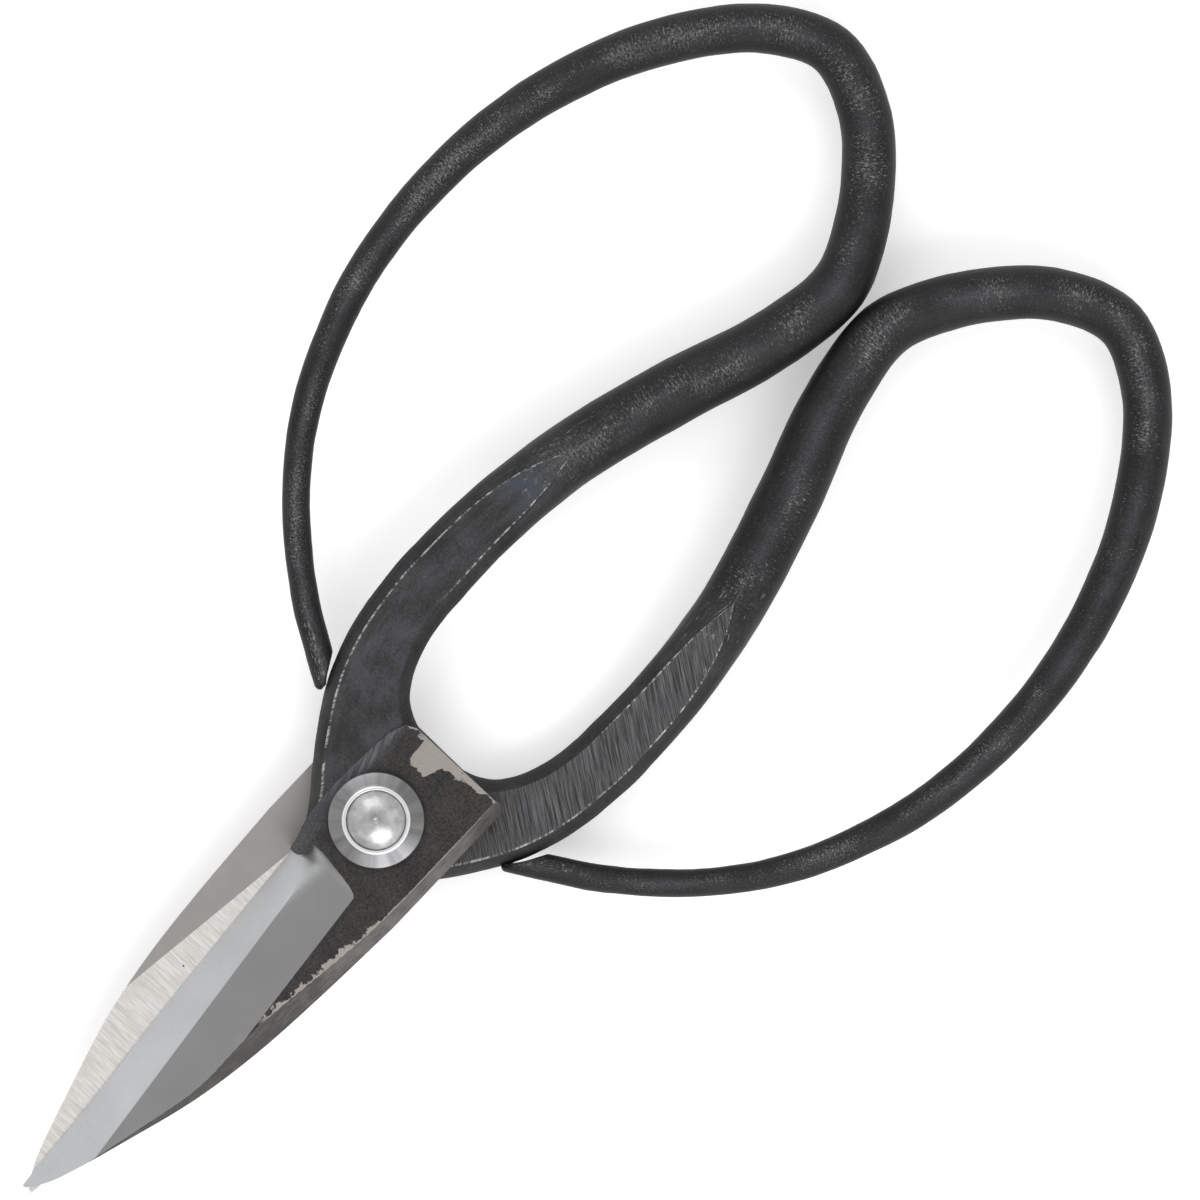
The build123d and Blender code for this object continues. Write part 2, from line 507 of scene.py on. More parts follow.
@dataclass(frozen=True)
class ForgeScale:
    """Black forge scale on the plate: matt and grainy, chipped along its borders."""

    side: Side
    shear_z: float
    chamfer_x: float = -9.4
    patch_x: float = 0.8
    edge_y: float = -12.1
    step_x: float = 5.4
    step_lean: float = 0.06
    file_turn: Point = (0.94, 0.34)
    hill: tuple[float, float, float] = (-1.9, 5.6, 1.3)
    bevel_from: float = 8.6
    bevel_lean: float = 0.115
    chips_end: Point = (29.5, 27.5)
    worn_from: float = 4.0

    def make(self) -> bpy.types.Material:
        """Build the material.

        Returns:
            The material.
        """
        shader = Shader(f"forge_scale_{self.side.name.lower()}", IOR=1.32)
        place = shader.place()
        x, y, z = shader.split(place)
        x = x * self.side.value
        grain = shader.noise(place, 2.6, 6.0, 0.8)
        blotch = shader.noise(place, 0.28, 3.0)
        fine = shader.noise(place, 5.5, 3.0, 0.7, shift=3.0)
        tone = (grain * 0.9 + fine * 0.7 + blotch * 0.3 - 0.45).rise(0.22, 0.82)
        colour = shader.mix(tone, TONES.soot, TONES.scale)
        off_step = x - self.step_x + y * self.step_lean
        colour = shader.mix(off_step.rise(-1.6, 0.2), colour, shader.mix(tone, *TONES.flat))

        cos, sin = self.file_turn
        file_at = shader.vector(x * cos + y * sin, y * cos - x * sin, 0.0)
        filing = shader.noise(file_at, 1.0, 5.0, 0.7, stretch=(2.4, 0.16, 1.0))
        slope = off_step.rise(-0.7, 0.1) * (y - 3.0).rise(1.0, -2.0)
        colour = shader.mix(filing.rise(0.38, 0.70) * slope, colour, (0.13, 0.135, 0.145))

        ragged = shader.noise(place, 0.75, 5.0, 0.62, shift=7.0)
        peak = (x - self.patch_x).rise(-2.4, -1.2) * (self.patch_x + 1.7 - x).rise(-0.1, 0.25) * 2.9
        middle, half, high = self.hill
        hill = (1 - abs(x - middle) * (1 / half)).at_least(0) * high
        patch = (peak + hill + 0.35 + (ragged - 0.5) * 2.6 - (y - self.edge_y)).rise(0.0, 0.12)
        height = abs(z - self.shear_z) + (ragged - 0.5) * 3.0
        patch = patch * height.rise(self.worn_from, self.worn_from + 0.15)

        border = self.chamfer_x + (y - self.bevel_from).at_least(0) * self.bevel_lean
        width = (ragged - 0.42).at_least(0) * 3.6 * y.rise(3.0, 14.0) + 0.08 + (fine - 0.5) * 0.3
        chips = (width - (x - border)).rise(0.0, 0.12) * y.rise(*self.chips_end)
        specks = fine.rise(0.70, 0.74) * blotch.rise(0.48, 0.6)
        worn = patch.at_least(chips).at_least(specks * 0.5)
        rubbed = shader.mix(grain * 0.8 + fine * 0.4 - 0.1, (0.22, 0.20, 0.18), (0.42, 0.395, 0.37))
        colour = shader.mix(worn, colour, rubbed)
        roughness = 0.46 + grain * 0.28 - worn * 0.1
        relief = shader.bump(grain * 0.8 + fine * 0.5 - worn * 0.5, 0.10)
        return shader.done(colour, roughness, relief, metallic=worn * 0.9)


@dataclass(frozen=True)
class GroundSteel:
    """The blade's ground facets: fine grinding lines and a few pits. The facet by the cutting edge is painted
    lighter and the upper facet darker, as painted reflection.
    """

    side: Side
    heel_y: float
    tip_y: float
    ridges: tuple[Point, Point]
    # fade, upper and lower set the painted reflection on the facets: the upper facet is painted darker and
    # the edge facet lighter.
    fade: float = 7.0
    upper: Colour = (0.345, 0.345, 0.348)
    lower: Colour = (0.60, 0.605, 0.615)

    def make(self) -> bpy.types.Material:
        """Build the material.

        Returns:
            The material.
        """
        shader = Shader(f"ground_steel_{self.side.name.lower()}", Metallic=1.0)
        place = shader.place()
        x, y, _ = shader.split(place)
        x = x * self.side.value
        lean = (self.ridges[1][0] - self.ridges[0][0]) / (self.tip_y - self.heel_y)
        past = y - self.heel_y
        off_ridge = x - past * lean - self.ridges[0][0]
        # Painted reflection: across the ridge the colour goes from the darker upper facet to the lighter edge
        # facet, softly near the heel.
        softness = (2.6 - past * (2.6 / self.fade)).at_least(0.05)
        painted_facet_reflection = (off_ridge / softness).rise(-1.0, 1.0)
        lines = shader.noise(place, 1.0, 5.0, 0.65, stretch=(1.1, 3.2, 1.0))
        blotch = shader.noise(place, 0.16, 3.0, 0.5, shift=4.0)
        fine = shader.noise(place, 3.0, 3.0, 0.6, shift=9.0)
        scuffs = shader.noise(place, 1.0, 5.0, 0.8, stretch=(2.6, 0.35, 1.0), shift=13.0).rise(0.66, 0.72)
        # The two facets' colours here are painted reflection, not two kinds of steel.
        colour = shader.mix(painted_facet_reflection, self.upper, self.lower)
        darker = shader.mix(lines * 0.35 + blotch * 0.65, colour, (0.72, 0.72, 0.72), "MULTIPLY")
        pits = fine.rise(0.71, 0.75) * blotch.rise(0.5, 0.6)
        marked = shader.mix((pits * 0.6).at_least(scuffs * 0.35), darker, TONES.umber)
        roughness = 0.34 + lines * 0.12 + blotch * 0.06
        relief = shader.bump(lines * 0.7 + blotch * 0.3 - pits * 0.5 - scuffs * 0.2, 0.014)
        return shader.done(marked, roughness, relief)


@dataclass(frozen=True)
class SpineGrind:
    """The spine's bevel: dull brown-grey grinding, streaked along its length, with scale left in it."""

    side: Side

    def make(self) -> bpy.types.Material:
        """Build the material.

        Returns:
            The material.
        """
        shader = Shader(f"spine_grind_{self.side.name.lower()}")
        place = shader.place()
        _, y, _ = shader.split(place)
        streaks = shader.noise(place, 1.0, 5.0, 0.65, stretch=(5.0, 0.35, 5.0))
        blotch = shader.noise(place, 0.35, 3.0, shift=2.0)
        bare = (streaks * 1.1 + blotch * 0.6 - y.rise(10.0, 34.0) * 0.16 - 0.40).rise(0.2, 0.75)
        colour = shader.mix(bare, (0.030, 0.028, 0.026), (0.150, 0.139, 0.129))
        roughness = 0.5 - bare * 0.08
        relief = shader.bump(streaks, 0.03)
        return shader.done(colour, roughness, relief, metallic=bare * 0.8)


@dataclass(frozen=True)
class ShearFace:
    """The flat face that slides on the other half: matt grey, with a light honed band behind the edge."""

    side: Side
    band_start: Point = (-5.0, 9.0)
    band_lean: float = -0.125
    pit: Point = (-5.1, 30.6)
    pit_r: float = 0.16

    def make(self) -> bpy.types.Material:
        """Build the material.

        Returns:
            The material.
        """
        shader = Shader(f"shear_face_{self.side.name.lower()}")
        place = shader.place()
        x, y, _ = shader.split(place)
        x = x * self.side.value
        border = (y - self.band_start[1]) * self.band_lean + self.band_start[0]
        band = (x - border).rise(-0.05, 0.05) * y.rise(self.band_start[1] - 0.6, self.band_start[1])
        across = shader.noise(place, 1.0, 6.0, 0.68, stretch=(0.30, 5.0, 1.0))
        blotch = shader.noise(place, 0.2, 3.0, shift=5.0)
        fine = shader.noise(place, 4.0, 4.0, 0.6, shift=1.0)
        grey = shader.mix(blotch * 0.6 + fine * 0.4, (0.29, 0.278, 0.265), (0.43, 0.412, 0.395))
        honed = shader.mix(across.rise(0.3, 0.7), (0.64, 0.615, 0.585), (0.90, 0.88, 0.855))
        dark = (-1.5 - y).rise(-1.0, 1.0)
        colour = shader.mix(band, grey, honed)
        off_pit = shader.vector(x - self.pit[0], y - self.pit[1], 0.0)
        in_pit = shader.length(off_pit).rise(self.pit_r, self.pit_r / 2)
        colour = shader.mix(in_pit, colour, TONES.soot)
        colour = shader.mix(dark, colour, shader.mix(fine, TONES.soot, TONES.slate))
        roughness = 0.44 + fine * 0.12 - band * 0.06
        relief = shader.bump(across * band + fine * 0.35, 0.015)
        return shader.done(colour, roughness, relief, metallic=1 - dark * 0.9)


@dataclass(frozen=True)
class WornEdge:
    """Edges rubbed through the scale: bright steel in a broken line."""

    side: Side

    def make(self) -> bpy.types.Material:
        """Build the material.

        Returns:
            The material.
        """
        shader = Shader(f"worn_edge_{self.side.name.lower()}")
        place = shader.place()
        broken = shader.noise(place, 0.9, 6.0, 0.8)
        bright = broken.rise(0.42, 0.60)
        colour = shader.mix(bright, TONES.scale, TONES.bare)
        return shader.done(colour, 0.5 - bright * 0.12, metallic=bright * 0.9)


@dataclass(frozen=True)
class HandleScale:
    """Scale on the shank and handle: smooth and dark, with bright flecks along the bar's crest. Its crest is
    painted lighter, with a painted highlight band, and its sides darker as painted shade.

    The piece's UV map runs round the bar in U and along it in V.
    """

    side: Side
    length: float
    girth: float
    flat_edges: tuple[float, ...]
    crest_u: tuple[float, float]
    flat_end: float
    file_turn: Point = (0.566, 0.824)

    def make(self) -> bpy.types.Material:
        """Build the material.

        Returns:
            The material.
        """
        shader = Shader(f"handle_scale_{self.side.name.lower()}", IOR=1.3)
        place = shader.place()
        x, y, _ = shader.split(place)
        u, v, _ = shader.split(shader.along_surface())
        lay = shader.vector(u * self.girth, v * self.length, float(self.side.value) * 3.0)
        grain = shader.noise(place, 3.0, 5.0, 0.75)
        blotch = shader.noise(place, 0.22, 3.0)
        streaks = shader.noise(lay, 1.0, 5.0, 0.7, stretch=(2.6, 0.12, 1.0))
        near_crest = self._inside(u, self.crest_u, 0.19).rise(-0.02, 0.17)
        tone = (grain * 0.7 + blotch * 0.6 + streaks * 0.6 - 0.5).rise(0.22, 0.80)
        # Painted shade: the sides of the bar are painted darker and the crest lighter.
        colour = shader.mix(tone * (0.15 + near_crest * 0.7), TONES.soot, TONES.slate)
        off_flat = v.rise(self.flat_end - 0.035, self.flat_end + 0.02)
        # Painted highlight: a speckled light band painted along the crest, where a soft reflection would lie.
        band = self._inside(u, self.crest_u, 0.1).rise(0.0, 0.085)
        painted_sheen = shader.noise(place, 0.11, 3.0, 0.5, shift=15.0).rise(0.3, 0.7)
        speckle = shader.noise(place, 4.5, 4.0, 0.7, shift=21.0).rise(0.40, 0.62)
        painted_sheen = band * (0.12 + painted_sheen * 0.55) * (0.35 + speckle * 0.65) * off_flat
        colour = shader.mix(painted_sheen, colour, (0.100, 0.102, 0.110))

        on_flat = v.rise(self.flat_end + 0.01, self.flat_end - 0.02)
        outer_top, inner_top, inner_under, outer_under = sorted(self.flat_edges)
        on_top = self._within(u, outer_top, inner_top)
        on_under = self._within(u, inner_under, outer_under)
        flat = on_top.at_least(on_under) * 0.38 + 0.32
        colour = shader.mix(flat * on_flat, colour, shader.mix(tone, *TONES.flat))
        before_end = (self.flat_end - v) * self.length
        # A bluish tint painted on the top flat, a little before the flats end.
        bluish_patch = (4.0 - abs(before_end - 9.0)).rise(0.0, 4.0) * near_crest.rise(0.3, 1.0) * streaks
        colour = shader.mix(bluish_patch * on_top, colour, (0.055, 0.070, 0.090))
        outer = self._inside(u, (outer_top, outer_under), 0.0032).rise(0.0, 0.0022)
        inner = self._inside(u, (inner_top, inner_under), 0.0032).rise(0.0, 0.0022)
        lines = outer.at_least(inner * before_end.rise(28.0, 22.0))
        broken = shader.noise(lay, 1.0, 6.0, 0.85, stretch=(0.8, 1.1, 1.0), shift=6.0)
        worn = lines * on_flat * broken.rise(0.46, 0.58)

        patchy = shader.noise(lay, 0.09, 3.0, 0.6, shift=2.0).rise(0.36, 0.62)
        flecks = shader.noise(lay, 1.0, 6.0, 0.95, stretch=(2.2, 3.4, 1.0), shift=8.0)
        chance = flecks + patchy * near_crest * 0.09 + near_crest * 0.02
        flecked = chance.rise(0.60, 0.67) * near_crest.rise(0.1, 0.6) * off_flat
        scratches = shader.noise(lay, 1.0, 6.0, 0.85, stretch=(3.4, 0.5, 1.0), shift=11.0).rise(0.56, 0.66)
        run_out = v.rise(self.flat_end - 0.055, self.flat_end - 0.02)
        run_out = run_out * v.rise(self.flat_end + 0.03, self.flat_end)
        flecked = flecked.at_least(scratches * run_out * near_crest)
        worn = worn.at_least(flecked * 0.75)

        cos, sin = self.file_turn
        hatch_at = shader.vector(x * cos + y * sin, x * sin - y * cos, 0.0)
        hatch = shader.noise(hatch_at, 1.0, 5.0, 0.7, stretch=(5.2, 0.16, 1.0))
        filed = on_under * on_flat
        filed_colour = shader.mix(hatch.rise(0.34, 0.70), (0.014, 0.014, 0.015), (0.135, 0.136, 0.140))
        colour = shader.mix(filed, colour, filed_colour)
        colour = shader.mix(worn, colour, shader.mix(grain, (0.30, 0.29, 0.28), TONES.bare))
        roughness = 0.38 + grain * 0.2 - worn * 0.05 + filed * 0.06
        height = grain * 0.6 + streaks * 0.3 + hatch * filed * 0.9 - flecked * 0.4
        return shader.done(colour, roughness, shader.bump(height, 0.08), metallic=worn * 0.85)

    @staticmethod
    def _inside(u: Value, places: tuple[float, float], reach: float) -> Value:
        """How far u is inside a reach from the nearer of two places."""
        return (reach - abs(u - places[0])).at_least(reach - abs(u - places[1]))

    @staticmethod
    def _within(u: Value, low: float, high: float) -> Value:
        """1 where u is between two numbers, 0 elsewhere."""
        return (u - low).rise(-0.001, 0.001) * (high - u).rise(-0.001, 0.001)


@dataclass(frozen=True)
class TurnedSteel:
    """Steel faced on a lathe: fine rings, a painted reflection that is lighter and darker with the angle
    round the axis, and a lip painted bright as a painted highlight.
    """

    name: str = "turned_steel"
    # Radius of the lip's painted highlight ring.
    lip_r: float = 4.2

    def make(self) -> bpy.types.Material:
        """Build the material.

        Returns:
            The material.
        """
        shader = Shader(self.name, Metallic=1.0)
        place = shader.place()
        x, y, _ = shader.split(place)
        spoke = shader.vector(x, y, 0.0)
        radius = shader.length(spoke)
        rings = shader.noise(shader.vector(radius, 0.0, 0.0), 5.0, 4.0, 0.7)
        # Painted reflection: the colour turns lighter and darker with the angle round the axis.
        heading = shader.node("ShaderNodeVectorMath", {"operation": "NORMALIZE"}, {0: spoke})
        painted_sheen = shader.noise(heading.outputs[0], 2.6, 4.0, 0.6)
        blotch = shader.noise(place, 0.6, 3.0)
        # Painted highlight: a thin bright ring painted on the lip.
        lip = radius.rise(self.lip_r + 0.2, self.lip_r + 0.1)
        # The colour mixes the painted reflection with random blotches.
        light = painted_sheen.rise(0.32, 0.62) * 0.6 + blotch * 0.4
        colour = shader.mix(light, (0.125, 0.125, 0.128), (0.275, 0.275, 0.280))
        colour = shader.mix(lip, colour, (0.85, 0.85, 0.85))
        roughness = 0.30 + rings * 0.14
        return shader.done(colour, roughness, shader.bump(rings, 0.02))


@dataclass(frozen=True)
class PolishedSteel:
    """A polished rivet head with faint smears and small dents."""

    name: str = "polished_steel"

    def make(self) -> bpy.types.Material:
        """Build the material.

        Returns:
            The material.
        """
        shader = Shader(self.name, Metallic=1.0)
        place = shader.place()
        smear = shader.noise(place, 0.5, 4.0, 0.6)
        fine = shader.noise(place, 2.2, 4.0, 0.6, shift=5.0)
        colour = shader.mix(smear.rise(0.35, 0.7), (0.38, 0.38, 0.385), (0.58, 0.58, 0.585))
        roughness = 0.25 + fine * 0.16
        return shader.done(colour, roughness, shader.bump(smear * 0.8 + fine * 0.2, 0.05))


# ---- Forging ----


@dataclass(frozen=True)
class Bar:
    """The shank and handle loop: one tapering bar from the plate round to its free end.

    Rails give the two sides of the shank where it leaves the plate, outer side first. After that the route
    gives the middle of the bar, with its height, width and thickness.
    """

    rails: tuple[tuple[Point, Point], ...] = (
        ((5.75, 9.9), (-1.5, -9.0)), ((6.15, 7.3), (1.0, -11.6)), ((8.2, 3.9), (3.7, -12.2)),
        ((10.5, 1.1), (5.7, -12.95)), ((13.45, -2.9), (7.4, -14.15)), ((16.2, -7.2), (8.8, -16.0)),
        ((18.2, -11.6), (9.9, -18.35)), ((19.6, -16.4), (10.7, -20.9)), ((20.4, -21.6), (11.2, -24.0)),
    )
    route: tuple[tuple[float, ...], ...] = (
        (16.1, -27.0, 9.4), (15.9, -38.0, 9.0), (14.1, -51.0, 8.7), (10.2, -65.0, 8.7), (5.9, -77.5, 8.25),
        (4.0, -88.0, 7.85), (5.6, -94.5, 7.5), (10.8, -102.5, 7.2), (17.3, -108.5, 7.0),
        (25.5, -111.2, 6.78), (33.5, -107.3, 6.6), (39.6, -100.5, 6.45), (44.9, -91.3, 6.15),
        (48.5, -81.3, 5.78), (50.4, -71.5, 5.4), (50.8, -62.0, 5.0), (49.9, -52.0, 4.7),
        (47.7, -43.4, 4.45), (43.8, -34.0, 4.15), (38.6, -26.0, 3.92), (32.6, -19.6, 3.8),
        (25.6, -13.9, 3.75),
    )
    free_end: tuple[float, float, float] = (16.82, -8.48, 3.8)
    cut_normal: Point = (-0.91, -0.41)
    cut_share: float = 0.25
    end_rounding: float = 0.9
    end_reach: float = 1.0
    end_slant: float = 1.6
    end_steps: int = 5
    thin: float = 6.0
    shank_t: float = 4.3
    shank_z: float = 2.18
    oval: float = 0.96
    end_lift: float = 1.75
    lift_knots: int = 5
    corner: float = 1.7
    corner_bulge: float = 0.4
    least_flat: float = 0.02
    flat_from: float = -27.0
    flat_to: float = -51.0
    flat_knots: int = 3
    steps: int = 8
    arc_steps: int = 8
    top_steps: int = 3
    side_steps: int = 2
    hammer_mm: tuple[Point, ...] = ((4.5, 0.17), (1.2, 0.06))

    def _section(self, width: float, thick: float, corner: Point, bulge: float) -> list[Point]:
        """One section: four flats joined by bulged corners, from the outer side round over the top.

        Args:
            width: Across the bar.
            thick: Through the bar.
            corner: How much of the width and thickness a corner takes.
            bulge: 0 for a straight chamfer, 1 for a quarter of an oval.

        Returns:
            Points across and up from the bar's middle.
        """
        half = Vector((width / 2, thick / 2))
        points = []
        for quarter in range(4):
            signs = [(1, 1), (-1, 1), (-1, -1), (1, -1)][quarter]
            upright = quarter % 2 == 0
            for step in range(self.arc_steps + 1):
                t = step / self.arc_steps
                turn = t * math.pi / 2 if upright else (1 - t) * math.pi / 2
                line = t if upright else 1 - t
                round_x = half.x - corner[0] * (1 - math.cos(turn))
                round_z = half.y - corner[1] * (1 - math.sin(turn))
                flat_x = half.x - corner[0] * line
                flat_z = half.y - corner[1] * (1 - line)
                x = flat_x + (round_x - flat_x) * bulge
                z = flat_z + (round_z - flat_z) * bulge
                points.append((x * signs[0], z * signs[1]))
            flats = self.top_steps if upright else self.side_steps
            points.extend([None] * (flats - 1))
        return self._fill_flats(points)

    @staticmethod
    def _fill_flats(points: list) -> list[Point]:
        """Put evenly spaced points where a list has gaps between two corners.

        Args:
            points: The section's points, with None for each gap.

        Returns:
            The points with every gap filled.
        """
        filled = list(points)
        count = len(points)
        for index, point in enumerate(points):
            if point is not None:
                continue
            before = index
            while points[before % count] is None:
                before -= 1
            after = index
            while points[after % count] is None:
                after += 1
            part = (index - before) / (after - before)
            start, end = Vector(points[before % count]), Vector(points[after % count])
            filled[index] = tuple(start.lerp(end, part))
        return filled

    def flat_edges(self) -> tuple[float, float, float, float]:
        """Where the edges of the top flat and the under flat lie, as parts of the way round.

        Returns:
            The four places, from 0 to 1.
        """
        arc, top, side = self.arc_steps, self.top_steps, self.side_steps
        around = 4 * arc + 2 * top + 2 * side
        under = 3 * arc + top + side
        return (arc / around, (arc + top) / around, under / around, (under + top) / around)

    def stations(self) -> list[tuple[Vector, Vector, float, float, float]]:
        """Places along the bar: middle, direction to the outer side, width, height and flatness.

        Returns:
            One row for each station.
        """
        sides = [(*outer, *inner) for outer, inner in self.rails]
        first, second = self._level_rail(self.route[0]), self._level_rail(self.route[1])
        found = []
        for rail in smooth_line([*sides, first, second], self.steps)[: len(sides) * self.steps]:
            outer, inner = Vector(rail[:2]), Vector(rail[2:])
            across = outer - inner
            found.append(((outer + inner) / 2, across.normalized(), across.length))
        last = found[-1]
        line = smooth_line([(*last[0], last[2]), *self.route, self.free_end], self.steps)[self.steps - 1 :]
        for before, spot, after in zip(line, line[1:], line[2:]):
            ahead = (after - before).to_2d()
            found.append((spot.to_2d(), Vector((-ahead.y, ahead.x)).normalized(), spot.z))
        slant = self.end_rounding + self.end_slant * self.free_end[2]
        end = Vector(self.free_end[:2])
        return [
            row
            for row in found
            if row[0].y < self.flat_from or (row[0] - end).length > slant or row[2] > self.thin
        ]

    @staticmethod
    def _level_rail(spot: Sequence[float]) -> tuple[float, float, float, float]:
        """The two sides of the bar at a point of its route where it runs along Y."""
        x, y, width = spot
        return (x + width / 2, y, x - width / 2, y)

    def sections(self) -> list[list[Vector]]:
        """All the sections of the bar, in place.

        Returns:
            Closed outlines, from the plate to the free end.
        """
        stations = self.stations()
        first = len(self.rails) * self.steps
        found = []
        for index, (middle, across, width) in enumerate(stations):
            leaving = min(1.0, max(0.0, (middle.y - self.flat_from) / (self.flat_to - self.flat_from)))
            leaving = leaving if index >= first else 0.0
            if index > first + self.flat_knots * self.steps:
                leaving = 1.0
            ease = leaving * leaving * (3 - 2 * leaving)
            thick = self.shank_t + (width * self.oval - self.shank_t) * ease
            rise = max(0.0, 1 - (len(stations) - 1 - index) / (self.lift_knots * self.steps))
            height = self.shank_z * (1 - ease) + self.end_lift * rise * rise * (3 - 2 * rise)
            corner = (
                self.corner + (width / 2 - self.least_flat - self.corner) * leaving**4,
                self.corner + (thick / 2 - self.least_flat - self.corner) * leaving**2,
            )
            bulge = self.corner_bulge + (1 - self.corner_bulge) * ease
            section = self._section(width, thick, corner, bulge)
            found.append([(middle + across * p[0]).to_3d() + Vector((0, 0, height + p[1])) for p in section])
        return found + self._end_cap(found[-1])

    def _end_cap(self, last: Sequence[Vector]) -> list[list[Vector]]:
        """The free end: sections that run up to a slanted cut and round its rim.

        Args:
            last: The last full section before it.

        Returns:
            The sections of the end.
        """
        normal = Vector((*self.cut_normal, 0)).normalized()
        end = Vector((*self.free_end[:2], 0))
        centre = sum(last, Vector()) / len(last)
        heading = (end - centre.to_2d().to_3d()).normalized()
        straight = (end - centre).dot(heading) - self.end_rounding
        reach = [(end - p).dot(normal) / heading.dot(normal) - self.end_rounding for p in last]
        reach = [min(far, straight + self.end_reach + self.cut_share * (far - straight)) for far in reach]
        cap = []
        for step in range(1, self.end_steps + 1):
            cap.append([p + heading * far * step / self.end_steps for p, far in zip(last, reach)])
        for step in range(1, self.end_steps + 1):
            turn = math.pi / 2 * step / self.end_steps
            narrow = 1 - 2 * self.end_rounding / self.free_end[2] * (1 - math.cos(turn))
            out = self.end_rounding * math.sin(turn)
            ring = [centre + (p - centre) * narrow for p in last]
            cap.append([p + heading * (far + out) for p, far in zip(ring, reach)])
        return cap

    def travelled(self) -> list[float]:
        """How far along the bar each of its sections is.

        Returns:
            Distances, in millimetres.
        """
        middles = [s[0] for s in self.stations()]
        found = [0.0]
        for before, after in zip(middles, middles[1:]):
            found.append(found[-1] + (after - before).length)
        for _ in range(2 * self.end_steps):
            found.append(found[-1] + self.end_rounding / 2)
        return found

    def flat_part(self) -> float:
        """Where the flats of the shank run out, from 0 to 1."""
        flat = next(i for i, s in enumerate(self.stations()) if s[0].y < self.flat_to)
        return self.parts_along()[flat]

    def parts_along(self) -> list[float]:
        """Where each section is, from 0 to 1."""
        found = self.travelled()
        return [distance / found[-1] for distance in found]

    def build(self) -> bpy.types.Object:
        """Make the bar and hammer its surface uneven.

        Returns:
            The bar.
        """
        bar = Bench.loft("bar", self.sections(), self.parts_along())
        Bench.only(bar)
        for size, depth in self.hammer_mm:
            dents = bpy.data.textures.new("hammer_dents", "CLOUDS")
            dents.noise_scale = size
            dents.noise_depth = 1
            hammer = bar.modifiers.new("hammer", "DISPLACE")
            hammer.texture = dents
            hammer.strength = depth
            hammer.mid_level = 1.0
            hammer.texture_coords = "LOCAL"
            bpy.ops.object.modifier_apply(modifier=hammer.name)
        return bar


